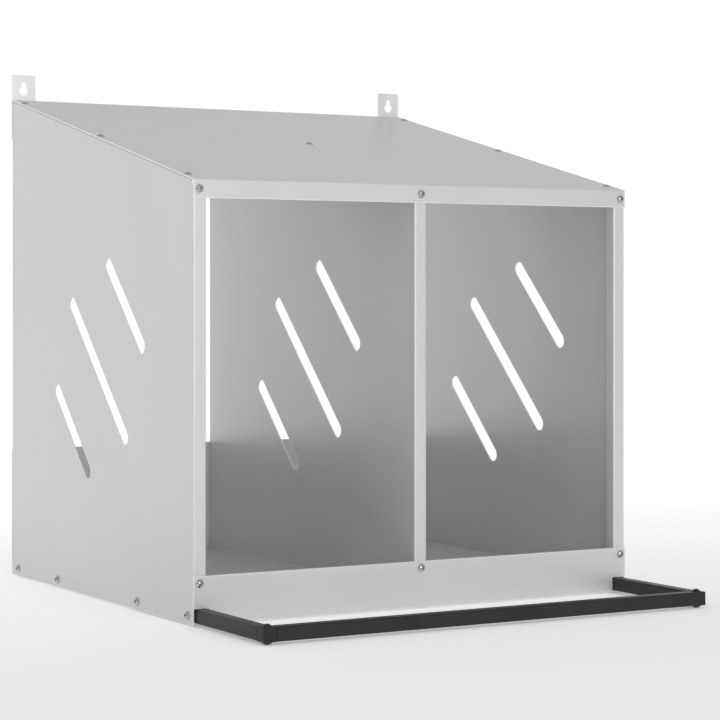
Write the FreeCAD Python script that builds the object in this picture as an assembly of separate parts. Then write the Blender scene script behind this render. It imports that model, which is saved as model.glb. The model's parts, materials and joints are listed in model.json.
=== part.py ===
import FreeCAD, Part
import math
import os

# A hanging nesting box with two compartments, folded from galvanised sheet and
# held together with small machine screws. A U-shaped perch of square steel tube
# is screwed under its floor and stands out in front.
#
# Millimetres. X runs across the front, Y from front to back, Z up. The origin is
# at the bottom centre of the whole object's box, so the box stands on Z = 0.

# ---- driving dimensions ----------------------------------------------------
BODY_WIDTH = 440.0          # over the outsides of the two side panels
BODY_DEPTH = 400.0          # side panels, front plane to back plane
FRONT_HEIGHT = 368.0        # sheet bottom edge to roof top, at the front plane
BACK_HEIGHT = 462.0         # the same at the back plane
SHEET = 1.0
BEND_RADIUS = 1.5           # outside radius of a folded edge

POST_WIDTH = 12.2           # folded edge of a side panel or of the divider
LIP_DEPTH = 10.0            # second fold of the same edge
DIVIDER_LEFT_FACE = -6.0    # X of the divider's flat face
LINTEL_HEIGHT = 15.7        # roof sheet folded down over the front
ROOF_BACK_DROP = 38.0       # roof sheet folded down over the back
ROOF_FLANGE_DEPTH = 8.0     # fold of a panel's web below its flange under the roof
POST_TOP_GAP = 4.0          # square to the roof, from its top face to the posts' ends

FLOOR_TOP = 14.3            # above the bottom edges of the sheets
FLOOR_LIP_DEPTH = 14.0
FLOOR_LIP_GAP = 0.5         # floor lips to the perch arms
SIDE_FLANGE_LEG = 5.0       # flat part of the floor tray's side folds
SILL_HEIGHT = 40.5
SILL_FOOT_DEPTH = 15.0
NOTCH_HEIGHT = 13.7
NOTCH_GAP = 0.3             # beside the perch arm
FOOT_OVERLAP = 0.1          # a side panel's foot strip into the web above it
BACK_SILL_HEIGHT = 122.0

SLOT_WIDTH = 13.5
SLOT_CENTRE_Y = 193.5       # from the front plane
SLOT_CENTRE_Z = 205.0
SLOT_STEP = 57.8            # from slot to slot, both back and down
SLOT_RISE = 45.0            # degrees, up towards the back
LONG_SLOT = 176.5
SHORT_SLOT = 111.5

TUBE = 12.0
TUBE_WALL = 1.2
TUBE_CORNER = 2.0
TUBE_BOTTOM = 1.2
TUBE_SIDE_GAP = 2.1         # outside of a side panel to the face of its perch arm
PERCH_REACH = 119.7         # sill face to the outer face of the perch bar
ARM_REACH_IN = 121.0        # how far an arm runs back under the floor
STUB_LENGTH = 18.0          # corner piece, inside each tube
STUB_PLAY = 0.1
CORNER_EDGE = 0.8           # rounding of the corner block's edges
CORNER_HEAD_HEIGHT = 2.3
CAP_DIAMETER = 8.0
CAP_POCKET = 1.4
CORNER_SCREW_END = 0.8      # how far the corner screw stands out into its cap nut

BRACKET_WIDTH = 25.0
BRACKET_HEIGHT = 65.0
BRACKET_SHEET = 1.5
BRACKET_TOP = 487.0
BRACKET_CORNER = 2.5
KEYHOLE_Z = 471.0
KEYHOLE_RADIUS = 4.2
KEYHOLE_SLOT = 4.2
KEYHOLE_SLOT_TOP = 479.7

SHANK = 4.0
CLEARANCE_HOLE = 4.4
HEAD_DIAMETER = 7.0
HEAD_HEIGHT = 2.6
THIN_HEAD_HEIGHT = 1.3
NUT_FLATS = 7.0
NUT_HEIGHT = 3.2
NUT_BORE = 4.1
NUT_CHAMFER = 0.2
HEAD_RIM_SHARE = 0.3        # straight part of a head's height
HEAD_SINK = 0.2             # overlap of a shank and its head
SCREW_TIP = 0.5
RECESS_SIZE = 3.4
RECESS_WIDTH = 0.95
RECESS_SHARE = 0.55         # of the head's height
SNUG = 0.05                 # play round a shank, on the radius
SHORT_SCREW = 8.0
BRACKET_SCREW = 10.0
LONG_SCREW = 18.0

# ---- places worked out from them -------------------------------------------
OVERALL_DEPTH = (PERCH_REACH + SHEET + BODY_DEPTH + SHEET
                 + BRACKET_SHEET + THIN_HEAD_HEIGHT)
FRONT = -OVERALL_DEPTH / 2 + PERCH_REACH + SHEET      # Y of the front plane
BACK = FRONT + BODY_DEPTH                             # Y of the back plane
BASE = THIN_HEAD_HEIGHT                               # Z of the sheets' bottom edges
HALF = BODY_WIDTH / 2
ROOF_SLOPE = math.atan2(BACK_HEIGHT - FRONT_HEIGHT, BODY_DEPTH)

SIDE_SCREW_Z = 7.3
SIDE_SCREW_Y = (10.2, 109.2, 285.6, 383.7)
PERCH_SCREWS = SIDE_SCREW_Y[:2]
FLOOR_SCREWS = SIDE_SCREW_Y[2:]
ROOF_SCREW_Y = (20.0, 200.0, 380.0)
POST_SCREW_X = (-HALF + 5.5, DIVIDER_LEFT_FACE + 6.0, HALF - 5.5)
LINTEL_SCREW_Z = 359.8
SILL_SCREW_Z = 34.4
BACK_SILL_SCREW_Z = (34.4, 108.0)
FOOT_SCREW_X = (-197.5, 6.0, 197.5)
FOOT_SCREW_IN = 7.0         # from the front or the back plane
BRACKET_SCREW_Z = (431.0, 447.0)
BRACKET_CENTRE_X = HALF - BRACKET_WIDTH / 2
DIVIDER_FOOT_SCREW_Y = (100.0, 300.0)
FOLD_RELIEF = 3.0           # a flange stops this short of its neighbour
OVERSHOOT = 1.0             # how far a cutter stands out of what it cuts
LENGTH_TOLERANCE = 0.01
PERCH_OUTER_X = -HALF + TUBE_SIDE_GAP
PERCH_FRONT_Y = -SHEET - PERCH_REACH

UP = FreeCAD.Vector(0, 0, 1)
DOWN = FreeCAD.Vector(0, 0, -1)
RIGHT = FreeCAD.Vector(1, 0, 0)
LEFT = FreeCAD.Vector(-1, 0, 0)
BACKWARD = FreeCAD.Vector(0, 1, 0)
FORWARD = FreeCAD.Vector(0, -1, 0)
ALONG_ROOF = FreeCAD.Vector(0, math.cos(ROOF_SLOPE), math.sin(ROOF_SLOPE))
OFF_ROOF = FreeCAD.Vector(0, -math.sin(ROOF_SLOPE), math.cos(ROOF_SLOPE))


def point(x, y, z):
    """A point given by X, the distance behind the front plane, and the height
    above the sheets' bottom edges."""
    return FreeCAD.Vector(x, FRONT + y, BASE + z)


def roof_height(y):
    """Height of the roof's top face at a distance behind the front plane."""
    return FRONT_HEIGHT + y * math.tan(ROOF_SLOPE)


def box(x0, x1, y0, y1, z0, z1):
    corner = point(x0, y0, z0)
    return Part.makeBox(x1 - x0, y1 - y0, z1 - z0, corner)


def mirrored(shape):
    """The same piece on the other side of the box."""
    return shape.mirror(FreeCAD.Vector(0, 0, 0), RIGHT)


def opposite(places):
    """The same places on the other side of the box."""
    return [FreeCAD.Vector(-place.x, place.y, place.z) for place in places]


# ---- folded sheet ----------------------------------------------------------
def rounded_path(points, radii):
    """Lines along the points, with a tangent arc of its own radius at each
    corner between them."""
    edges = []
    start = points[0]
    for before, corner, after, radius in zip(points, points[1:], points[2:], radii):
        a = (before - corner).normalize()
        b = (after - corner).normalize()
        half_angle = a.getAngle(b) / 2
        reach = radius / math.tan(half_angle)
        middle = (a + b).normalize()
        arc_start = corner + a * reach
        arc_end = corner + b * reach
        arc_middle = corner + middle * (radius / math.sin(half_angle) - radius)
        edges.append(Part.makeLine(start, arc_start))
        edges.append(Part.Arc(arc_start, arc_middle, arc_end).toShape())
        start = arc_end
    edges.append(Part.makeLine(start, points[-1]))
    return edges


def folded_sheet(points, inward, run):
    """Sheet whose outer face follows the points, with its thickness towards the
    side that the vector inward names on the first stretch, extruded along run.
    All its folds turn inwards and its two free edges are rounded."""
    normal = (points[1] - points[0]).cross(inward).normalize()
    sides = []
    for a, b in zip(points, points[1:]):
        sides.append(normal.cross(b - a).normalize())
    inner = [points[0] + sides[0] * SHEET]
    for corner, a, b in zip(points[1:-1], sides, sides[1:]):
        both = (a + b).normalize()
        inner.append(corner + both * (SHEET / both.dot(a)))
    inner.append(points[-1] + sides[-1] * SHEET)

    folds = len(points) - 2
    outer_edges = rounded_path(points, [BEND_RADIUS] * folds)
    inner_edges = rounded_path(inner, [BEND_RADIUS - SHEET] * folds)
    first_tip = (points[0] + inner[0]) / 2 - (points[1] - points[0]).normalize() * (SHEET / 2)
    last_tip = (points[-1] + inner[-1]) / 2 + (points[-1] - points[-2]).normalize() * (SHEET / 2)
    caps = [Part.Arc(inner[0], first_tip, points[0]).toShape(),
            Part.Arc(points[-1], last_tip, inner[-1]).toShape()]
    outline = Part.Wire(Part.__sortEdges__(outer_edges + inner_edges + caps))
    return Part.Face(outline).extrude(run)


def post_section(face_x, bottom, top):
    """Flat web with both of its upright edges folded to the right, twice."""
    edge_x = face_x + POST_WIDTH
    tip = SHEET / 2
    points = [point(edge_x, LIP_DEPTH - tip, bottom),
              point(edge_x, 0, bottom),
              point(face_x, 0, bottom),
              point(face_x, BODY_DEPTH, bottom),
              point(edge_x, BODY_DEPTH, bottom),
              point(edge_x, BODY_DEPTH - LIP_DEPTH + tip, bottom)]
    return folded_sheet(points, LEFT, UP * (top - bottom))


def roof_flange(face_x):
    """The web's sloping top edge, folded to the right under the roof."""
    start = point(face_x, 0, roof_height(0)) - OFF_ROOF * SHEET + ALONG_ROOF * FOLD_RELIEF
    points = [start + RIGHT * (POST_WIDTH - SHEET / 2),
              start,
              start - OFF_ROOF * ROOF_FLANGE_DEPTH]
    length = BODY_DEPTH / math.cos(ROOF_SLOPE) - 2 * FOLD_RELIEF
    return folded_sheet(points, -OFF_ROOF, ALONG_ROOF * length)


def above_roof_line(drop):
    """Everything higher than a drop below the roof's top face, as a block that
    stands out by the body's depth all round."""
    margin = BODY_DEPTH
    corner = point(-HALF - margin, 0, roof_height(0)) - OFF_ROOF * drop - ALONG_ROOF * margin
    block = Part.makeBox(BODY_WIDTH + 2 * margin, BODY_DEPTH + 2 * margin, margin)
    block.rotate(FreeCAD.Vector(0, 0, 0), RIGHT, math.degrees(ROOF_SLOPE))
    block.translate(corner)
    return block


def slot_cutter(face_x, y, z, length):
    """A round-ended slot through the web, rising to the back."""
    radius = SLOT_WIDTH / 2
    half = length / 2 - radius
    through = SHEET + 2 * OVERSHOOT
    start = point(face_x - OVERSHOOT, y, z)
    corner = start + FreeCAD.Vector(0, -half, -radius)
    block = Part.makeBox(through, 2 * half, SLOT_WIDTH, corner)
    ends = [Part.makeCylinder(radius, through, start + BACKWARD * (side * half), RIGHT)
            for side in (-1, 1)]
    cutter = block.fuse(ends)
    cutter.rotate(start, RIGHT, SLOT_RISE)
    return cutter


def slotted(panel, face_x):
    for step, length in ((-1, SHORT_SLOT), (0, LONG_SLOT), (1, SHORT_SLOT)):
        y = SLOT_CENTRE_Y + step * SLOT_STEP
        z = SLOT_CENTRE_Z - step * SLOT_STEP
        panel = panel.cut(slot_cutter(face_x, y, z, length))
    return panel


def drilled(shape, places, direction):
    """Clearance holes through the sheet at the places of the screws."""
    for place in places:
        start = place - direction * (2 * SHEET)
        hole = Part.makeCylinder(CLEARANCE_HOLE / 2, 6 * SHEET, start, direction)
        shape = shape.cut(hole)
    return shape


# ---- screws and nuts -------------------------------------------------------
def turned_to(shape, place, direction):
    """A piece made along +Z, turned so that +Z points along the direction."""
    shape = shape.copy()
    turn = FreeCAD.Rotation(UP, direction)
    shape.Placement = FreeCAD.Placement(place, turn)
    return shape


def cross_recess(head_height):
    """The driver's cross, cut down into a head whose crown is at -head_height."""
    depth = head_height * RECESS_SHARE
    low = -head_height - OVERSHOOT
    bars = [Part.makeBox(a, b, depth + OVERSHOOT, FreeCAD.Vector(-a / 2, -b / 2, low))
            for a, b in ((RECESS_SIZE, RECESS_WIDTH), (RECESS_WIDTH, RECESS_SIZE))]
    return bars[0].fuse(bars[1])


def domed_head(diameter, height):
    """A pan head under Z = 0: a low dome above a short straight rim."""
    radius = diameter / 2
    rim = height * HEAD_RIM_SHARE
    rise = height - rim
    shoulder = FreeCAD.Vector(radius, 0, -rim)
    crown = FreeCAD.Vector(0, 0, -height)
    ball = (radius ** 2 + rise ** 2) / (2 * rise)
    lean = math.asin(radius / ball) / 2
    between = FreeCAD.Vector(ball * math.sin(lean), 0, -height + ball * (1 - math.cos(lean)))
    outline = [Part.makeLine(FreeCAD.Vector(0, 0, 0), FreeCAD.Vector(radius, 0, 0)),
               Part.makeLine(FreeCAD.Vector(radius, 0, 0), shoulder),
               Part.Arc(shoulder, between, crown).toShape(),
               Part.makeLine(crown, FreeCAD.Vector(0, 0, 0))]
    head = Part.Face(Part.Wire(outline)).revolve(FreeCAD.Vector(0, 0, 0), UP, 360)
    return head


def screw(place, direction, length=SHORT_SCREW, head_height=HEAD_HEIGHT):
    """A screw whose head sits on the place, with its shank along the direction."""
    radius = SHANK / 2
    head = domed_head(HEAD_DIAMETER, head_height)
    shank = Part.makeCylinder(radius, length, FreeCAD.Vector(0, 0, -HEAD_SINK), UP)
    tip_start = FreeCAD.Vector(0, 0, length - HEAD_SINK)
    tip = Part.makeCone(radius, radius - SCREW_TIP, SCREW_TIP, tip_start, UP)
    whole = head.fuse([shank, tip]).cut(cross_recess(head_height))
    return turned_to(whole, place, direction)


def nut(place, direction):
    """A hexagon nut whose near face sits on the place."""
    radius = NUT_FLATS / math.sqrt(3)
    corners = [FreeCAD.Vector(radius * math.cos(math.radians(60 * i)),
                              radius * math.sin(math.radians(60 * i)), 0) for i in range(7)]
    body = Part.Face(Part.makePolygon(corners)).extrude(UP * NUT_HEIGHT)
    bore = Part.makeCylinder(NUT_BORE / 2, NUT_HEIGHT)
    dome = Part.makeCone(radius + OVERSHOOT, NUT_FLATS / 2 - NUT_CHAMFER, NUT_HEIGHT)
    return turned_to(body.common(dome).cut(bore), place, direction)


def group(pieces):
    return Part.makeCompound(pieces)


# ---- the places of the screws ----------------------------------------------
def roof_places(x):
    return [point(x, y, roof_height(y)) for y in ROOF_SCREW_Y]


def front_places(z):
    return [point(x, -SHEET, z) for x in POST_SCREW_X]


def back_places(heights):
    return [point(x, BODY_DEPTH + SHEET, z) for z in heights for x in POST_SCREW_X]


def foot_places(y):
    return [point(x, y, 0) for x in FOOT_SCREW_X]


def side_places(distances):
    return [point(-HALF, y, SIDE_SCREW_Z) for y in distances]


def bracket_places():
    y = BODY_DEPTH + SHEET + BRACKET_SHEET
    return [point(POST_SCREW_X[0], y, z) for z in BRACKET_SCREW_Z]


def divider_foot_places():
    return [point(POST_SCREW_X[1], y, FLOOR_TOP + SHEET) for y in DIVIDER_FOOT_SCREW_Y]


ROOF_LEFT = roof_places(POST_SCREW_X[0])
ROOF_RIGHT = roof_places(POST_SCREW_X[2])
ROOF_MIDDLE = roof_places(POST_SCREW_X[1])[1:2]
LINTEL = front_places(LINTEL_SCREW_Z)
SILL = front_places(SILL_SCREW_Z)
SILL_FOOT = foot_places(FOOT_SCREW_IN)
BACK_SILL = back_places(BACK_SILL_SCREW_Z)
BACK_SILL_FOOT = foot_places(BODY_DEPTH - FOOT_SCREW_IN)
BRACKET_LEFT = bracket_places()
SIDE_ALL = side_places(SIDE_SCREW_Y)
CORNER_TOP = point(PERCH_OUTER_X + TUBE / 2, PERCH_FRONT_Y + TUBE / 2, TUBE_BOTTOM + TUBE)


# ---- panels ----------------------------------------------------------------
def side_panel():
    """The left panel; its web reaches lower than its folded edges, which stand
    on the floor tray."""
    face_x = -HALF
    far_x = face_x + POST_WIDTH + OVERSHOOT
    fold_x = face_x + BEND_RADIUS
    low = -OVERSHOOT
    web_foot = FLOOR_TOP + FOOT_OVERLAP
    front, back = -OVERSHOOT, BODY_DEPTH + OVERSHOOT
    upright = post_section(face_x, 0, BACK_HEIGHT).cut(above_roof_line(POST_TOP_GAP))
    under_floor = box(fold_x, far_x, front, back, low, web_foot)
    fold_ends = [box(face_x - OVERSHOOT, fold_x, front, BEND_RADIUS, low, web_foot),
                 box(face_x - OVERSHOOT, fold_x, BODY_DEPTH - BEND_RADIUS, back, low, web_foot)]
    upright = upright.cut(under_floor).cut(group(fold_ends))
    foot = box(face_x, face_x + SHEET, 0, BODY_DEPTH, 0, web_foot)
    panel = upright.fuse([foot, roof_flange(face_x)]).removeSplitter()
    panel = slotted(panel, face_x)
    panel = drilled(panel, SIDE_ALL, RIGHT)
    panel = drilled(panel, [LINTEL[0], SILL[0]], BACKWARD)
    panel = drilled(panel, BACK_SILL[0::3] + BRACKET_LEFT, FORWARD)
    return drilled(panel, ROOF_LEFT, -OFF_ROOF)


def centre_divider():
    """The same folded panel between the compartments, standing on the floor."""
    face_x = DIVIDER_LEFT_FACE
    upright = post_section(face_x, FLOOR_TOP, BACK_HEIGHT).cut(above_roof_line(POST_TOP_GAP))
    inset = LIP_DEPTH + FOLD_RELIEF
    foot = box(face_x, face_x + POST_WIDTH, inset, BODY_DEPTH - inset, FLOOR_TOP, FLOOR_TOP + SHEET)
    panel = upright.fuse([foot, roof_flange(face_x)]).removeSplitter()
    panel = slotted(panel, face_x)
    panel = drilled(panel, [LINTEL[1], SILL[1]], BACKWARD)
    panel = drilled(panel, BACK_SILL[1::3], FORWARD)
    panel = drilled(panel, divider_foot_places(), DOWN)
    return drilled(panel, ROOF_MIDDLE, -OFF_ROOF)


def roof_panel():
    """Sloping sheet, folded down into the lintel in front and over the back."""
    x = -HALF
    front_top = roof_height(-SHEET)
    back_y = BODY_DEPTH + SHEET
    points = [point(x, -SHEET, front_top - LINTEL_HEIGHT + SHEET / 2),
              point(x, -SHEET, front_top),
              point(x, back_y, roof_height(back_y)),
              point(x, back_y, roof_height(back_y) - ROOF_BACK_DROP)]
    panel = folded_sheet(points, BACKWARD, RIGHT * BODY_WIDTH)
    panel = drilled(panel, LINTEL, BACKWARD)
    panel = drilled(panel, ROOF_LEFT + ROOF_MIDDLE + ROOF_RIGHT, -OFF_ROOF)
    brackets = [p + FORWARD * BRACKET_SHEET for p in BRACKET_LEFT + opposite(BRACKET_LEFT)]
    return drilled(panel, brackets, FORWARD)


def floor_panel():
    """Shallow upside-down tray: flanges down all round, and lips under the
    front and the back ones for the sills' screws."""
    reach = HALF - SHEET
    length = BODY_DEPTH
    lip_x = HALF - TUBE_SIDE_GAP - TUBE - FLOOR_LIP_GAP
    points = [point(-reach, FLOOR_LIP_DEPTH, SHEET),
              point(-reach, 0, SHEET),
              point(-reach, 0, FLOOR_TOP),
              point(-reach, length, FLOOR_TOP),
              point(-reach, length, SHEET),
              point(-reach, length - FLOOR_LIP_DEPTH, SHEET)]
    tray = folded_sheet(points, UP, RIGHT * (2 * reach))
    far_x = reach + OVERSHOOT
    for side in (-1, 1):
        x0, x1 = sorted((side * lip_x, side * far_x))
        tray = tray.cut(box(x0, x1, -OVERSHOOT, length + OVERSHOOT, 0, FLOOR_TOP - SHEET))
    for side in (-1, 1):
        fold_x = side * (reach - SIDE_FLANGE_LEG)
        x0, x1 = sorted((fold_x, side * far_x))
        square_edge = box(x0, x1, FOLD_RELIEF, length - FOLD_RELIEF,
                          FLOOR_TOP - 2 * SHEET, FLOOR_TOP + SHEET)
        leg = [point(fold_x, FOLD_RELIEF, FLOOR_TOP),
               point(side * reach, FOLD_RELIEF, FLOOR_TOP),
               point(side * reach, FOLD_RELIEF, BEND_RADIUS)]
        flange = folded_sheet(leg, DOWN, BACKWARD * (length - 2 * FOLD_RELIEF))
        tray = tray.cut(square_edge).fuse(flange)
    tray = tray.removeSplitter()
    holes = [p + RIGHT * SHEET for p in SIDE_ALL]
    tray = drilled(tray, holes, RIGHT)
    tray = drilled(tray, opposite(holes), LEFT)
    tray = drilled(tray, divider_foot_places(), DOWN)
    return drilled(tray, [p + UP * SHEET for p in SILL_FOOT + BACK_SILL_FOOT], UP)


def front_sill():
    """Kick board across the front, notched where the perch arms pass."""
    x = -HALF
    notch_x = HALF - TUBE_SIDE_GAP - TUBE - NOTCH_GAP
    points = [point(x, SILL_FOOT_DEPTH - SHEET, 0),
              point(x, -SHEET, 0),
              point(x, -SHEET, SILL_HEIGHT - SHEET / 2)]
    sill = folded_sheet(points, UP, RIGHT * BODY_WIDTH)
    for side in (-1, 1):
        x0, x1 = sorted((side * notch_x, side * (HALF + OVERSHOOT)))
        sill = sill.cut(box(x0, x1, -2 * SHEET, SILL_FOOT_DEPTH, -OVERSHOOT, NOTCH_HEIGHT))
    sill = drilled(sill, SILL, BACKWARD)
    return drilled(sill, SILL_FOOT, UP)


def back_sill():
    """Low board across the open back; it keeps the litter in."""
    x = -HALF
    back_y = BODY_DEPTH + SHEET
    points = [point(x, BODY_DEPTH - SILL_FOOT_DEPTH + SHEET, 0),
              point(x, back_y, 0),
              point(x, back_y, BACK_SILL_HEIGHT - SHEET / 2)]
    sill = folded_sheet(points, UP, RIGHT * BODY_WIDTH)
    for side in (-1, 1):
        x0, x1 = sorted((side * (HALF - 2 * SHEET), side * (HALF + OVERSHOOT)))
        sill = sill.cut(box(x0, x1, 0, BODY_DEPTH, -OVERSHOOT, FLOOR_TOP))
    sill = drilled(sill, BACK_SILL, FORWARD)
    return drilled(sill, BACK_SILL_FOOT, UP)


def edges_of_length(shape, length):
    return [edge for edge in shape.Edges if abs(edge.Length - length) < LENGTH_TOLERANCE]


def hanging_bracket():
    """The left keyhole plate, behind the roof's back flange."""
    y = BODY_DEPTH + SHEET
    left = -HALF
    bottom = BRACKET_TOP - BRACKET_HEIGHT
    plate = box(left, left + BRACKET_WIDTH, y, y + BRACKET_SHEET, bottom, BRACKET_TOP)
    plate = plate.makeFillet(BRACKET_CORNER, edges_of_length(plate, BRACKET_SHEET))
    x = -BRACKET_CENTRE_X
    half = KEYHOLE_SLOT / 2
    slot_z = KEYHOLE_SLOT_TOP - half
    start = y - OVERSHOOT
    through = BRACKET_SHEET + 2 * OVERSHOOT
    head_hole = Part.makeCylinder(KEYHOLE_RADIUS, through, point(x, start, KEYHOLE_Z), BACKWARD)
    slot_end = Part.makeCylinder(half, through, point(x, start, slot_z), BACKWARD)
    slot = box(x - half, x + half, start, start + through, KEYHOLE_Z, slot_z)
    plate = plate.cut(head_hole.fuse([slot_end, slot]))
    return drilled(plate, BRACKET_LEFT, FORWARD)


# ---- perch -----------------------------------------------------------------
def square_tube(start, direction, length):
    """Square tube with rounded long edges; start is the middle of its end."""
    def bar(width, radius):
        block = Part.makeBox(width, width, length, FreeCAD.Vector(-width / 2, -width / 2, 0))
        return block.makeFillet(radius, edges_of_length(block, length))
    tube = bar(TUBE, TUBE_CORNER).cut(bar(TUBE - 2 * TUBE_WALL, TUBE_CORNER - TUBE_WALL))
    return turned_to(tube, start, direction)


def perch_arm():
    start = point(PERCH_OUTER_X + TUBE / 2, PERCH_FRONT_Y + TUBE, TUBE_BOTTOM + TUBE / 2)
    arm = square_tube(start, BACKWARD, ARM_REACH_IN - PERCH_FRONT_Y - TUBE)
    for y in PERCH_SCREWS:
        place = point(-HALF, y, SIDE_SCREW_Z)
        arm = arm.cut(Part.makeCylinder(CLEARANCE_HOLE / 2, 2 * TUBE, place, RIGHT))
    return arm


def perch_bar():
    start = point(PERCH_OUTER_X + TUBE, PERCH_FRONT_Y + TUBE / 2, TUBE_BOTTOM + TUBE / 2)
    return square_tube(start, RIGHT, -2 * start.x)


def perch_corner():
    """Solid corner block with a stub into each of the two tubes."""
    x, y, z = PERCH_OUTER_X, PERCH_FRONT_Y, TUBE_BOTTOM
    block = box(x, x + TUBE, y, y + TUBE, z, z + TUBE)
    block = block.makeFillet(CORNER_EDGE, block.Edges)
    low = TUBE_WALL + STUB_PLAY
    high = TUBE - low
    root = TUBE - CORNER_EDGE
    stubs = [box(x + low, x + high, y + root, y + TUBE + STUB_LENGTH, z + low, z + high),
             box(x + root, x + TUBE + STUB_LENGTH, y + low, y + high, z + low, z + high)]
    stubs = [stub.makeFillet(TUBE_CORNER - TUBE_WALL, stub.Edges) for stub in stubs]
    hole = Part.makeCylinder(SHANK / 2 + SNUG, TUBE, CORNER_TOP + DOWN * TUBE, UP)
    return block.fuse(stubs).cut(hole)


def perch_corner_screw():
    return screw(CORNER_TOP, DOWN, TUBE + CORNER_SCREW_END, CORNER_HEAD_HEIGHT)


def perch_corner_cap():
    """Low domed cap nut; it stands on the same level as the thin heads."""
    height = TUBE_BOTTOM + THIN_HEAD_HEIGHT
    cap = domed_head(CAP_DIAMETER, height)
    pocket = Part.makeCylinder(SHANK / 2 + SNUG, CAP_POCKET, FreeCAD.Vector(0, 0, -CAP_POCKET), UP)
    return turned_to(cap.cut(pocket), CORNER_TOP + DOWN * TUBE, UP)


# ---- the assembly ----------------------------------------------------------
def screws(places, direction, length=SHORT_SCREW, head_height=HEAD_HEIGHT):
    return group([screw(place, direction, length, head_height) for place in places])


def nuts(places, direction, distance):
    return group([nut(place + direction * distance, direction) for place in places])


def both_sides(pieces):
    return group([pieces, mirrored(pieces)])


def assembly():
    two_sheets = 2 * SHEET
    bracket_grip = BRACKET_SHEET + two_sheets
    perch_grip = TUBE_SIDE_GAP + TUBE
    perch_places = side_places(PERCH_SCREWS)
    floor_places = side_places(FLOOR_SCREWS)
    panel = side_panel()
    bracket = hanging_bracket()
    arm = perch_arm()
    corner = perch_corner()
    perch_screws = screws(perch_places, RIGHT, LONG_SCREW)
    perch_nuts = nuts(perch_places, RIGHT, perch_grip)
    floor_screws = screws(floor_places, RIGHT)
    floor_nuts = nuts(floor_places, RIGHT, two_sheets)
    bracket_screws = screws(BRACKET_LEFT, FORWARD, BRACKET_SCREW, THIN_HEAD_HEIGHT)
    bracket_nuts = nuts(BRACKET_LEFT, FORWARD, bracket_grip)
    down_roof = -OFF_ROOF
    return {
        "left_side_panel": panel,
        "right_side_panel": mirrored(panel),
        "centre_divider": centre_divider(),
        "roof_panel": roof_panel(),
        "floor_panel": floor_panel(),
        "front_sill": front_sill(),
        "back_sill": back_sill(),
        "left_hanging_bracket": bracket,
        "right_hanging_bracket": mirrored(bracket),
        "left_perch_arm": arm,
        "right_perch_arm": mirrored(arm),
        "perch_bar": perch_bar(),
        "left_perch_corner": corner,
        "right_perch_corner": mirrored(corner),
        "perch_corner_screws": both_sides(perch_corner_screw()),
        "perch_corner_cap_nuts": both_sides(perch_corner_cap()),
        "left_perch_arm_screws": perch_screws,
        "right_perch_arm_screws": mirrored(perch_screws),
        "left_perch_arm_nuts": perch_nuts,
        "right_perch_arm_nuts": mirrored(perch_nuts),
        "left_floor_screws": floor_screws,
        "right_floor_screws": mirrored(floor_screws),
        "left_floor_nuts": floor_nuts,
        "right_floor_nuts": mirrored(floor_nuts),
        "left_roof_screws": screws(ROOF_LEFT, down_roof, SHORT_SCREW, THIN_HEAD_HEIGHT),
        "right_roof_screws": screws(ROOF_RIGHT, down_roof, SHORT_SCREW, THIN_HEAD_HEIGHT),
        "middle_roof_screw": screws(ROOF_MIDDLE, down_roof, SHORT_SCREW, THIN_HEAD_HEIGHT),
        "left_roof_nuts": nuts(ROOF_LEFT, down_roof, two_sheets),
        "right_roof_nuts": nuts(ROOF_RIGHT, down_roof, two_sheets),
        "middle_roof_nut": nuts(ROOF_MIDDLE, down_roof, two_sheets),
        "lintel_screws": screws(LINTEL, BACKWARD),
        "lintel_nuts": nuts(LINTEL, BACKWARD, two_sheets),
        "sill_screws": screws(SILL, BACKWARD),
        "sill_nuts": nuts(SILL, BACKWARD, two_sheets),
        "sill_foot_screws": screws(SILL_FOOT, UP, SHORT_SCREW, THIN_HEAD_HEIGHT),
        "sill_foot_nuts": nuts(SILL_FOOT, UP, two_sheets),
        "back_sill_screws": screws(BACK_SILL, FORWARD, SHORT_SCREW, THIN_HEAD_HEIGHT),
        "back_sill_nuts": nuts(BACK_SILL, FORWARD, two_sheets),
        "back_sill_foot_screws": screws(BACK_SILL_FOOT, UP, SHORT_SCREW, THIN_HEAD_HEIGHT),
        "back_sill_foot_nuts": nuts(BACK_SILL_FOOT, UP, two_sheets),
        "left_bracket_screws": bracket_screws,
        "right_bracket_screws": mirrored(bracket_screws),
        "left_bracket_nuts": bracket_nuts,
        "right_bracket_nuts": mirrored(bracket_nuts),
        "divider_foot_screws": screws(divider_foot_places(), DOWN),
        "divider_foot_nuts": nuts(divider_foot_places(), DOWN, two_sheets),
    }


os.makedirs("parts", exist_ok=True)
for name, shape in assembly().items():
    shape.exportStep("parts/" + name + ".step")
    print(name, len(shape.Solids), shape.isValid(), round(shape.Volume, 1))
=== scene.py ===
import json
import math

import bpy
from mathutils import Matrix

# The looks of a galvanised nesting box: a procedural finish for each material slot
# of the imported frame, a plain pale floor, soft studio light and the camera.
# Metres throughout, in the frame's own axes: X across the front, Y to the back, Z up.

UPRIGHT = math.radians(90.0)  # tilts what looks straight down up to the horizon

# ---- camera --------------------------------------------------------------------
CAMERA_PLACE = (-1.0476, -1.8349, 0.2739)
CAMERA_TURN = math.radians(-30.0)
LENS = 114.3
SENSOR_WIDTH = 36.0
SHIFT = (0.0125, -0.0913)
VIEW_END = 200.0

# ---- studio --------------------------------------------------------------------
FLOOR_HALF = 40.0
FLOOR_GREY = 0.80
FLOOR_GLOW = (0.28, 0.62)  # in front of the box and behind it
FLOOR_GLOW_REACH = (-0.4, 1.0)  # the Y between which the glow changes

# The sky's levels change between two sines of the elevation, and the backdrop
# comes in between two shares of the direction's Y.
SKY_LEVELS = (0.42, 0.56)  # at the horizon and overhead
SKY_RISE = (0.14, 0.50)
BACKDROP = 1.06
BACKDROP_REACH = (0.55, 0.75)
BACKDROP_TOP = (0.26, 0.60)

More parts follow.
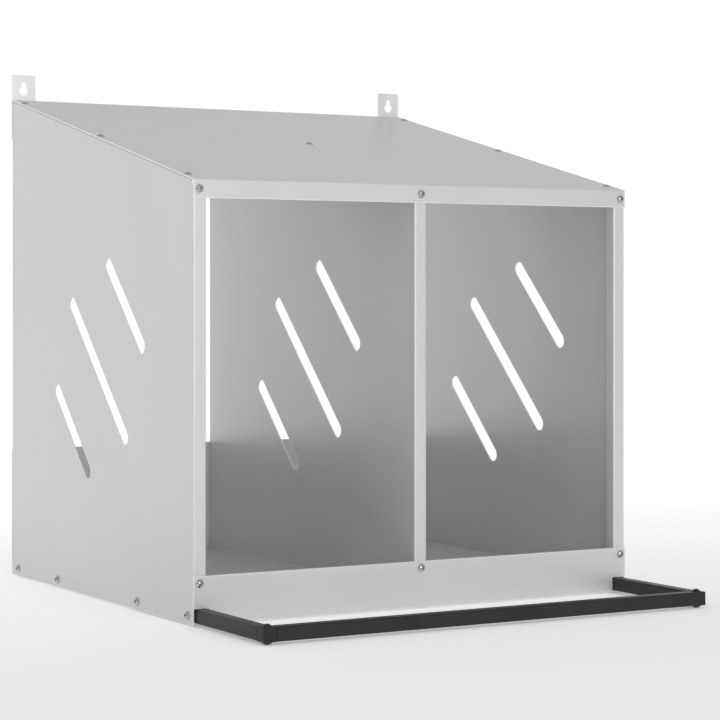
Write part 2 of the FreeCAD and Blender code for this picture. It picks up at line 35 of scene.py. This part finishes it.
SOFTBOX_DISTANCE = 3.0
SOFTBOXES = (  # name, degrees to the right of the front, height, size, radiance
    ("front softbox", -6.0, 0.9, 2.0, 2.6),
    ("left softbox", -62.0, 1.9, 0.5, 3.0),
)

# ---- finishes ------------------------------------------------------------------
# SIZE is how large a noise's features are, SWING how far it moves a value up and
# down, DEPTH the height of its bumps, and EDGE_RADIUS how far an edge reaches.
NOISE_CORE = (0.3, 0.7)  # the range where most of a noise lies
EDGE_SAMPLES = 4
EDGE_COSINES = (0.80, 0.995)  # a rounded normal against the face's: at an edge, off it

SHEET_GREY = 0.68
# brackets: partly a brighter plate, partly a painted sheen for the light they catch
PLATE_GREY_WITH_SHEEN = 0.86
SHEET_METALLIC = 0.28
SHEET_SPECULAR = 0.20
SHEET_ROUGHNESS = (0.285, 0.36)
SHEET_CLOUD_SIZE = 0.16
SHEET_CLOUD_SWING = 0.03
SHEET_BLOOM_SIZE = 0.030
SHEET_BLOOM_SWING = 0.008
SHEET_BLOOM_GLOSS_SWING = 0.02
SHEET_BLOOM_DEPTH = 0.000010
SHEET_GRAIN_SIZE = 0.0018
SHEET_GRAIN_SWING = 0.008
SHEET_EDGE_RADIUS = 0.0014
# painted highlight: how much lighter the sheet is made along its folds and edges
SHEET_EDGE_HIGHLIGHT = 0.50

TUBE_GREY = 0.018
PLASTIC_GREY = 0.016
BLACK_SPECULAR = 0.32
BLACK_CLOUD_SIZE = 0.05
BLACK_CLOUD_SHARES = (0.8, 1.25)  # of the grey, where the cloud is dark and bright
BLACK_GLOSS_SWING = 0.04
BLACK_EDGE_RADIUS = 0.0008

ZINC_GREY = 0.52
ZINC_ROUGHNESS = (0.12, 0.18)
ZINC_CLOUD_SIZE = 0.003
ZINC_CLOUD_SWING = 0.05
ZINC_GRAIN_SIZE = 0.0005
ZINC_GRAIN_DEPTH = 0.000006
ZINC_EDGE_RADIUS = 0.0006
# painted shade: how much darker the heads are made along their rims and recesses
ZINC_RIM_SHADE = 0.30

BRACKETS = ("left_hanging_bracket", "right_hanging_bracket")


# ---- building nodes --------------------------------------------------------------
def new_material(name):
    """A material with its tree and its Principled shader."""
    material = bpy.data.materials.new(name)
    material.use_nodes = True
    tree = material.node_tree
    return material, tree, tree.nodes["Principled BSDF"]


def add(tree, kind, inputs=None, **settings):
    """A node with these settings; an input's value is a number or another socket."""
    node = tree.nodes.new(kind)
    for key, value in settings.items():
        setattr(node, key, value)
    for key, value in (inputs or {}).items():
        if isinstance(value, bpy.types.NodeSocket):
            tree.links.new(value, node.inputs[key])
        else:
            node.inputs[key].default_value = value
    return node


def place(tree):
    """The position in the object's own coordinates."""
    return add(tree, "ShaderNodeTexCoord").outputs["Object"]


def noise(tree, size, detail=2.0):
    """Soft noise, from 0 to 1, whose features are about this large."""
    node = add(tree, "ShaderNodeTexNoise",
               {"Vector": place(tree), "Scale": 1.0 / size, "Detail": detail})
    return node.outputs["Fac"]


def math_node(tree, operation, a, b):
    return add(tree, "ShaderNodeMath", {0: a, 1: b}, operation=operation).outputs[0]


def ranged(tree, value, low, high, start=0.0, end=1.0):
    """The value, taken from start..end to low..high."""
    node = add(tree, "ShaderNodeMapRange",
               {"Value": value, "From Min": start, "From Max": end,
                "To Min": low, "To Max": high})
    return node.outputs["Result"]


def around(tree, value, middle, swing, start=0.0, end=1.0):
    """The value, taken from start..end to this far below and above the middle."""
    return ranged(tree, value, middle - swing, middle + swing, start, end)


def grey(tree, value):
    node = add(tree, "ShaderNodeCombineColor", {"Red": value, "Green": value, "Blue": value})
    return node.outputs["Color"]


def edge_mask(tree, radius):
    """From 0 on flat faces to 1 along edges."""
    bevel = add(tree, "ShaderNodeBevel", {"Radius": radius}, samples=EDGE_SAMPLES)
    own = add(tree, "ShaderNodeNewGeometry").outputs["Normal"]
    dot = add(tree, "ShaderNodeVectorMath", {0: bevel.outputs["Normal"], 1: own},
              operation="DOT_PRODUCT")
    return ranged(tree, dot.outputs["Value"], 1.0, 0.0, *EDGE_COSINES)


def bump(tree, height, depth):
    node = add(tree, "ShaderNodeBump", {"Height": height, "Distance": depth})
    return node.outputs["Normal"]


def finish_off(tree, shader, base, rough, normal):
    """Gives the shader its grey, its roughness and its bumps."""
    tree.links.new(grey(tree, base), shader.inputs["Base Color"])
    tree.links.new(rough, shader.inputs["Roughness"])
    tree.links.new(normal, shader.inputs["Normal"])


# ---- the finishes themselves -----------------------------------------------------
def galvanised(name, level):
    """Smooth zinc-coated steel: soft clouds, a faint grain and a painted highlight that
    brightens its folds and edges.
    """
    material, tree, shader = new_material(name)
    shader.inputs["Metallic"].default_value = SHEET_METALLIC
    shader.inputs["Specular IOR Level"].default_value = SHEET_SPECULAR
    cloud = noise(tree, SHEET_CLOUD_SIZE, detail=1.0)
    bloom = noise(tree, SHEET_BLOOM_SIZE, detail=0.0)
    grain = noise(tree, SHEET_GRAIN_SIZE, detail=1.0)
    # painted highlight: the edge mask lightens the grey along folds and edges
    edge = math_node(tree, "MULTIPLY", edge_mask(tree, SHEET_EDGE_RADIUS), SHEET_EDGE_HIGHLIGHT)
    base = around(tree, cloud, level, SHEET_CLOUD_SWING)
    for part in (around(tree, bloom, 0.0, SHEET_BLOOM_SWING),
                 around(tree, grain, 0.0, SHEET_GRAIN_SWING),
                 edge):
        base = math_node(tree, "ADD", base, part)
    rough = math_node(tree, "ADD", ranged(tree, cloud, *SHEET_ROUGHNESS),
                      around(tree, bloom, 0.0, SHEET_BLOOM_GLOSS_SWING))
    finish_off(tree, shader, base, rough, bump(tree, bloom, SHEET_BLOOM_DEPTH))
    return material


def galvanised_sheet():
    return galvanised("galvanised sheet", SHEET_GREY)


def galvanised_plate_with_sheen():
    return galvanised("bright galvanised plate", PLATE_GREY_WITH_SHEEN)


def black_coat(name, level, roughness, grain_size, grain_depth, edge_grey):
    """Satin black with a fine grain, a little greyer along its edges."""
    material, tree, shader = new_material(name)
    shader.inputs["Specular IOR Level"].default_value = BLACK_SPECULAR
    grain = noise(tree, grain_size)
    cloud = noise(tree, BLACK_CLOUD_SIZE)
    edge = math_node(tree, "MULTIPLY", edge_mask(tree, BLACK_EDGE_RADIUS), edge_grey)
    darkest, brightest = BLACK_CLOUD_SHARES
    base = ranged(tree, cloud, level * darkest, level * brightest, *NOISE_CORE)
    base = math_node(tree, "ADD", base, edge)
    rough = around(tree, cloud, roughness, BLACK_GLOSS_SWING, *NOISE_CORE)
    finish_off(tree, shader, base, rough, bump(tree, grain, grain_depth))
    return material


def black_tube():
    return black_coat("black powder coat", TUBE_GREY, roughness=0.44,
                      grain_size=0.0009, grain_depth=0.00004, edge_grey=0.012)


def black_corner():
    return black_coat("black moulded plastic", PLASTIC_GREY, roughness=0.50,
                      grain_size=0.0006, grain_depth=0.00005, edge_grey=0.016)


def black_fastener():
    return black_coat("black oxide", TUBE_GREY, roughness=0.30,
                      grain_size=0.0005, grain_depth=0.00001, edge_grey=0.03)


def zinc_fastener():
    """Bright zinc plating with painted shade: darker along its rims and in the driver's
    cross, standing in for the dark ring a domed head reflects.
    """
    material, tree, shader = new_material("bright zinc plating")
    shader.inputs["Metallic"].default_value = 1.0
    cloud = noise(tree, ZINC_CLOUD_SIZE)
    grain = noise(tree, ZINC_GRAIN_SIZE)
    # painted shade and reflection: the edge mask darkens the rims and the driver's cross
    edge = math_node(tree, "MULTIPLY", edge_mask(tree, ZINC_EDGE_RADIUS), ZINC_RIM_SHADE)
    base = around(tree, cloud, ZINC_GREY, ZINC_CLOUD_SWING, *NOISE_CORE)
    base = math_node(tree, "SUBTRACT", base, edge)
    rough = ranged(tree, cloud, *ZINC_ROUGHNESS)
    finish_off(tree, shader, base, rough, bump(tree, grain, ZINC_GRAIN_DEPTH))
    return material


FINISHES = {
    "galvanised_sheet": galvanised_sheet,
    "black_tube": black_tube,
    "black_corner": black_corner,
    "black_fastener": black_fastener,
    "zinc_fastener": zinc_fastener,
}


def dress(frame):
    """Gives each CAD node the finish of its material slot; the two brackets get a brighter
    plate, partly their own plate's tone and partly a painted sheen."""
    finishes = {slot: make() for slot, make in FINISHES.items()}
    # painted sheen: the brackets' plate is made lighter than the sheet
    plate = galvanised_plate_with_sheen()
    for part in frame["record"]["subparts"]:
        name = part["node"]
        finish = plate if name in BRACKETS else finishes[part["material_slot"]]
        for slot in frame["nodes"][name].material_slots:
            slot.material = finish


# ---- stage -----------------------------------------------------------------------
def floor():
    """A wide pale floor with a glow of its own, stronger behind the box."""
    mesh = bpy.data.meshes.new("floor")
    corners = [(x * FLOOR_HALF, y * FLOOR_HALF, 0.0)
               for x, y in ((-1, -1), (1, -1), (1, 1), (-1, 1))]
    mesh.from_pydata(corners, [], [(0, 1, 2, 3)])
    plane = bpy.data.objects.new("floor", mesh)
    bpy.context.scene.collection.objects.link(plane)
    material, tree, shader = new_material("pale floor")
    shader.inputs["Base Color"].default_value = (FLOOR_GREY, FLOOR_GREY, FLOOR_GREY, 1.0)
    shader.inputs["Roughness"].default_value = 1.0
    shader.inputs["Specular IOR Level"].default_value = 0.0
    shader.inputs["Emission Color"].default_value = (1.0, 1.0, 1.0, 1.0)
    back = add(tree, "ShaderNodeSeparateXYZ", {"Vector": place(tree)}).outputs["Y"]
    glow = ranged(tree, back, *FLOOR_GLOW, *FLOOR_GLOW_REACH)
    tree.links.new(glow, shader.inputs["Emission Strength"])
    mesh.materials.append(material)


def sky():
    """Soft grey light from all round, a little brighter overhead, with a white
    backdrop low behind the box."""
    world = bpy.data.worlds.new("studio")
    bpy.context.scene.world = world
    world.use_nodes = True
    tree = world.node_tree
    direction = add(tree, "ShaderNodeTexCoord").outputs["Generated"]
    split = add(tree, "ShaderNodeSeparateXYZ", {"Vector": direction})
    level = ranged(tree, split.outputs["Z"], *SKY_LEVELS, *SKY_RISE)
    behind = ranged(tree, split.outputs["Y"], 0.0, BACKDROP, *BACKDROP_REACH)
    low = ranged(tree, split.outputs["Z"], 1.0, 0.0, *BACKDROP_TOP)
    backdrop = math_node(tree, "MULTIPLY", behind, low)
    level = math_node(tree, "MAXIMUM", level, backdrop)
    tree.links.new(grey(tree, level), tree.nodes["Background"].inputs["Color"])


def softboxes():
    """Large square lights at the front and the left, turned to the box."""
    for name, degrees, height, size, radiance in SOFTBOXES:
        turn = math.radians(degrees)
        data = bpy.data.lights.new(name, "AREA")
        data.size = size
        data.energy = radiance * math.pi * size * size
        light = bpy.data.objects.new(name, data)
        light.location = (SOFTBOX_DISTANCE * math.sin(turn),
                          -SOFTBOX_DISTANCE * math.cos(turn), height)
        light.rotation_euler = (UPRIGHT, 0.0, turn)
        bpy.context.scene.collection.objects.link(light)


def camera():
    """A long lens, level, from the left front; the shift sets the framing."""
    data = bpy.data.cameras.new("camera")
    data.lens = LENS
    data.sensor_width = SENSOR_WIDTH
    data.shift_x, data.shift_y = SHIFT
    data.clip_end = VIEW_END
    camera_object = bpy.data.objects.new("camera", data)
    camera_object.location = CAMERA_PLACE
    camera_object.rotation_euler = (UPRIGHT, 0.0, CAMERA_TURN)
    bpy.context.scene.collection.objects.link(camera_object)
    bpy.context.scene.camera = camera_object


# ---- the scene -------------------------------------------------------------------
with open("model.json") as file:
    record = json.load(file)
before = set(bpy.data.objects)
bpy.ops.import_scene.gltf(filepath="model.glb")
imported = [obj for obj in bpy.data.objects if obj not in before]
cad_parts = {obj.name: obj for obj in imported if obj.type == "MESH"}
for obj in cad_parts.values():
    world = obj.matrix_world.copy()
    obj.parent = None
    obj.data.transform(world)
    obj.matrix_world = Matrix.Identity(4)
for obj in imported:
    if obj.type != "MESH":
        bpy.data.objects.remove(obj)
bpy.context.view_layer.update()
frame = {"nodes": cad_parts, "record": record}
camera()
floor()
sky()
softboxes()
bpy.context.scene.view_settings.view_transform = "Standard"
dress(frame)
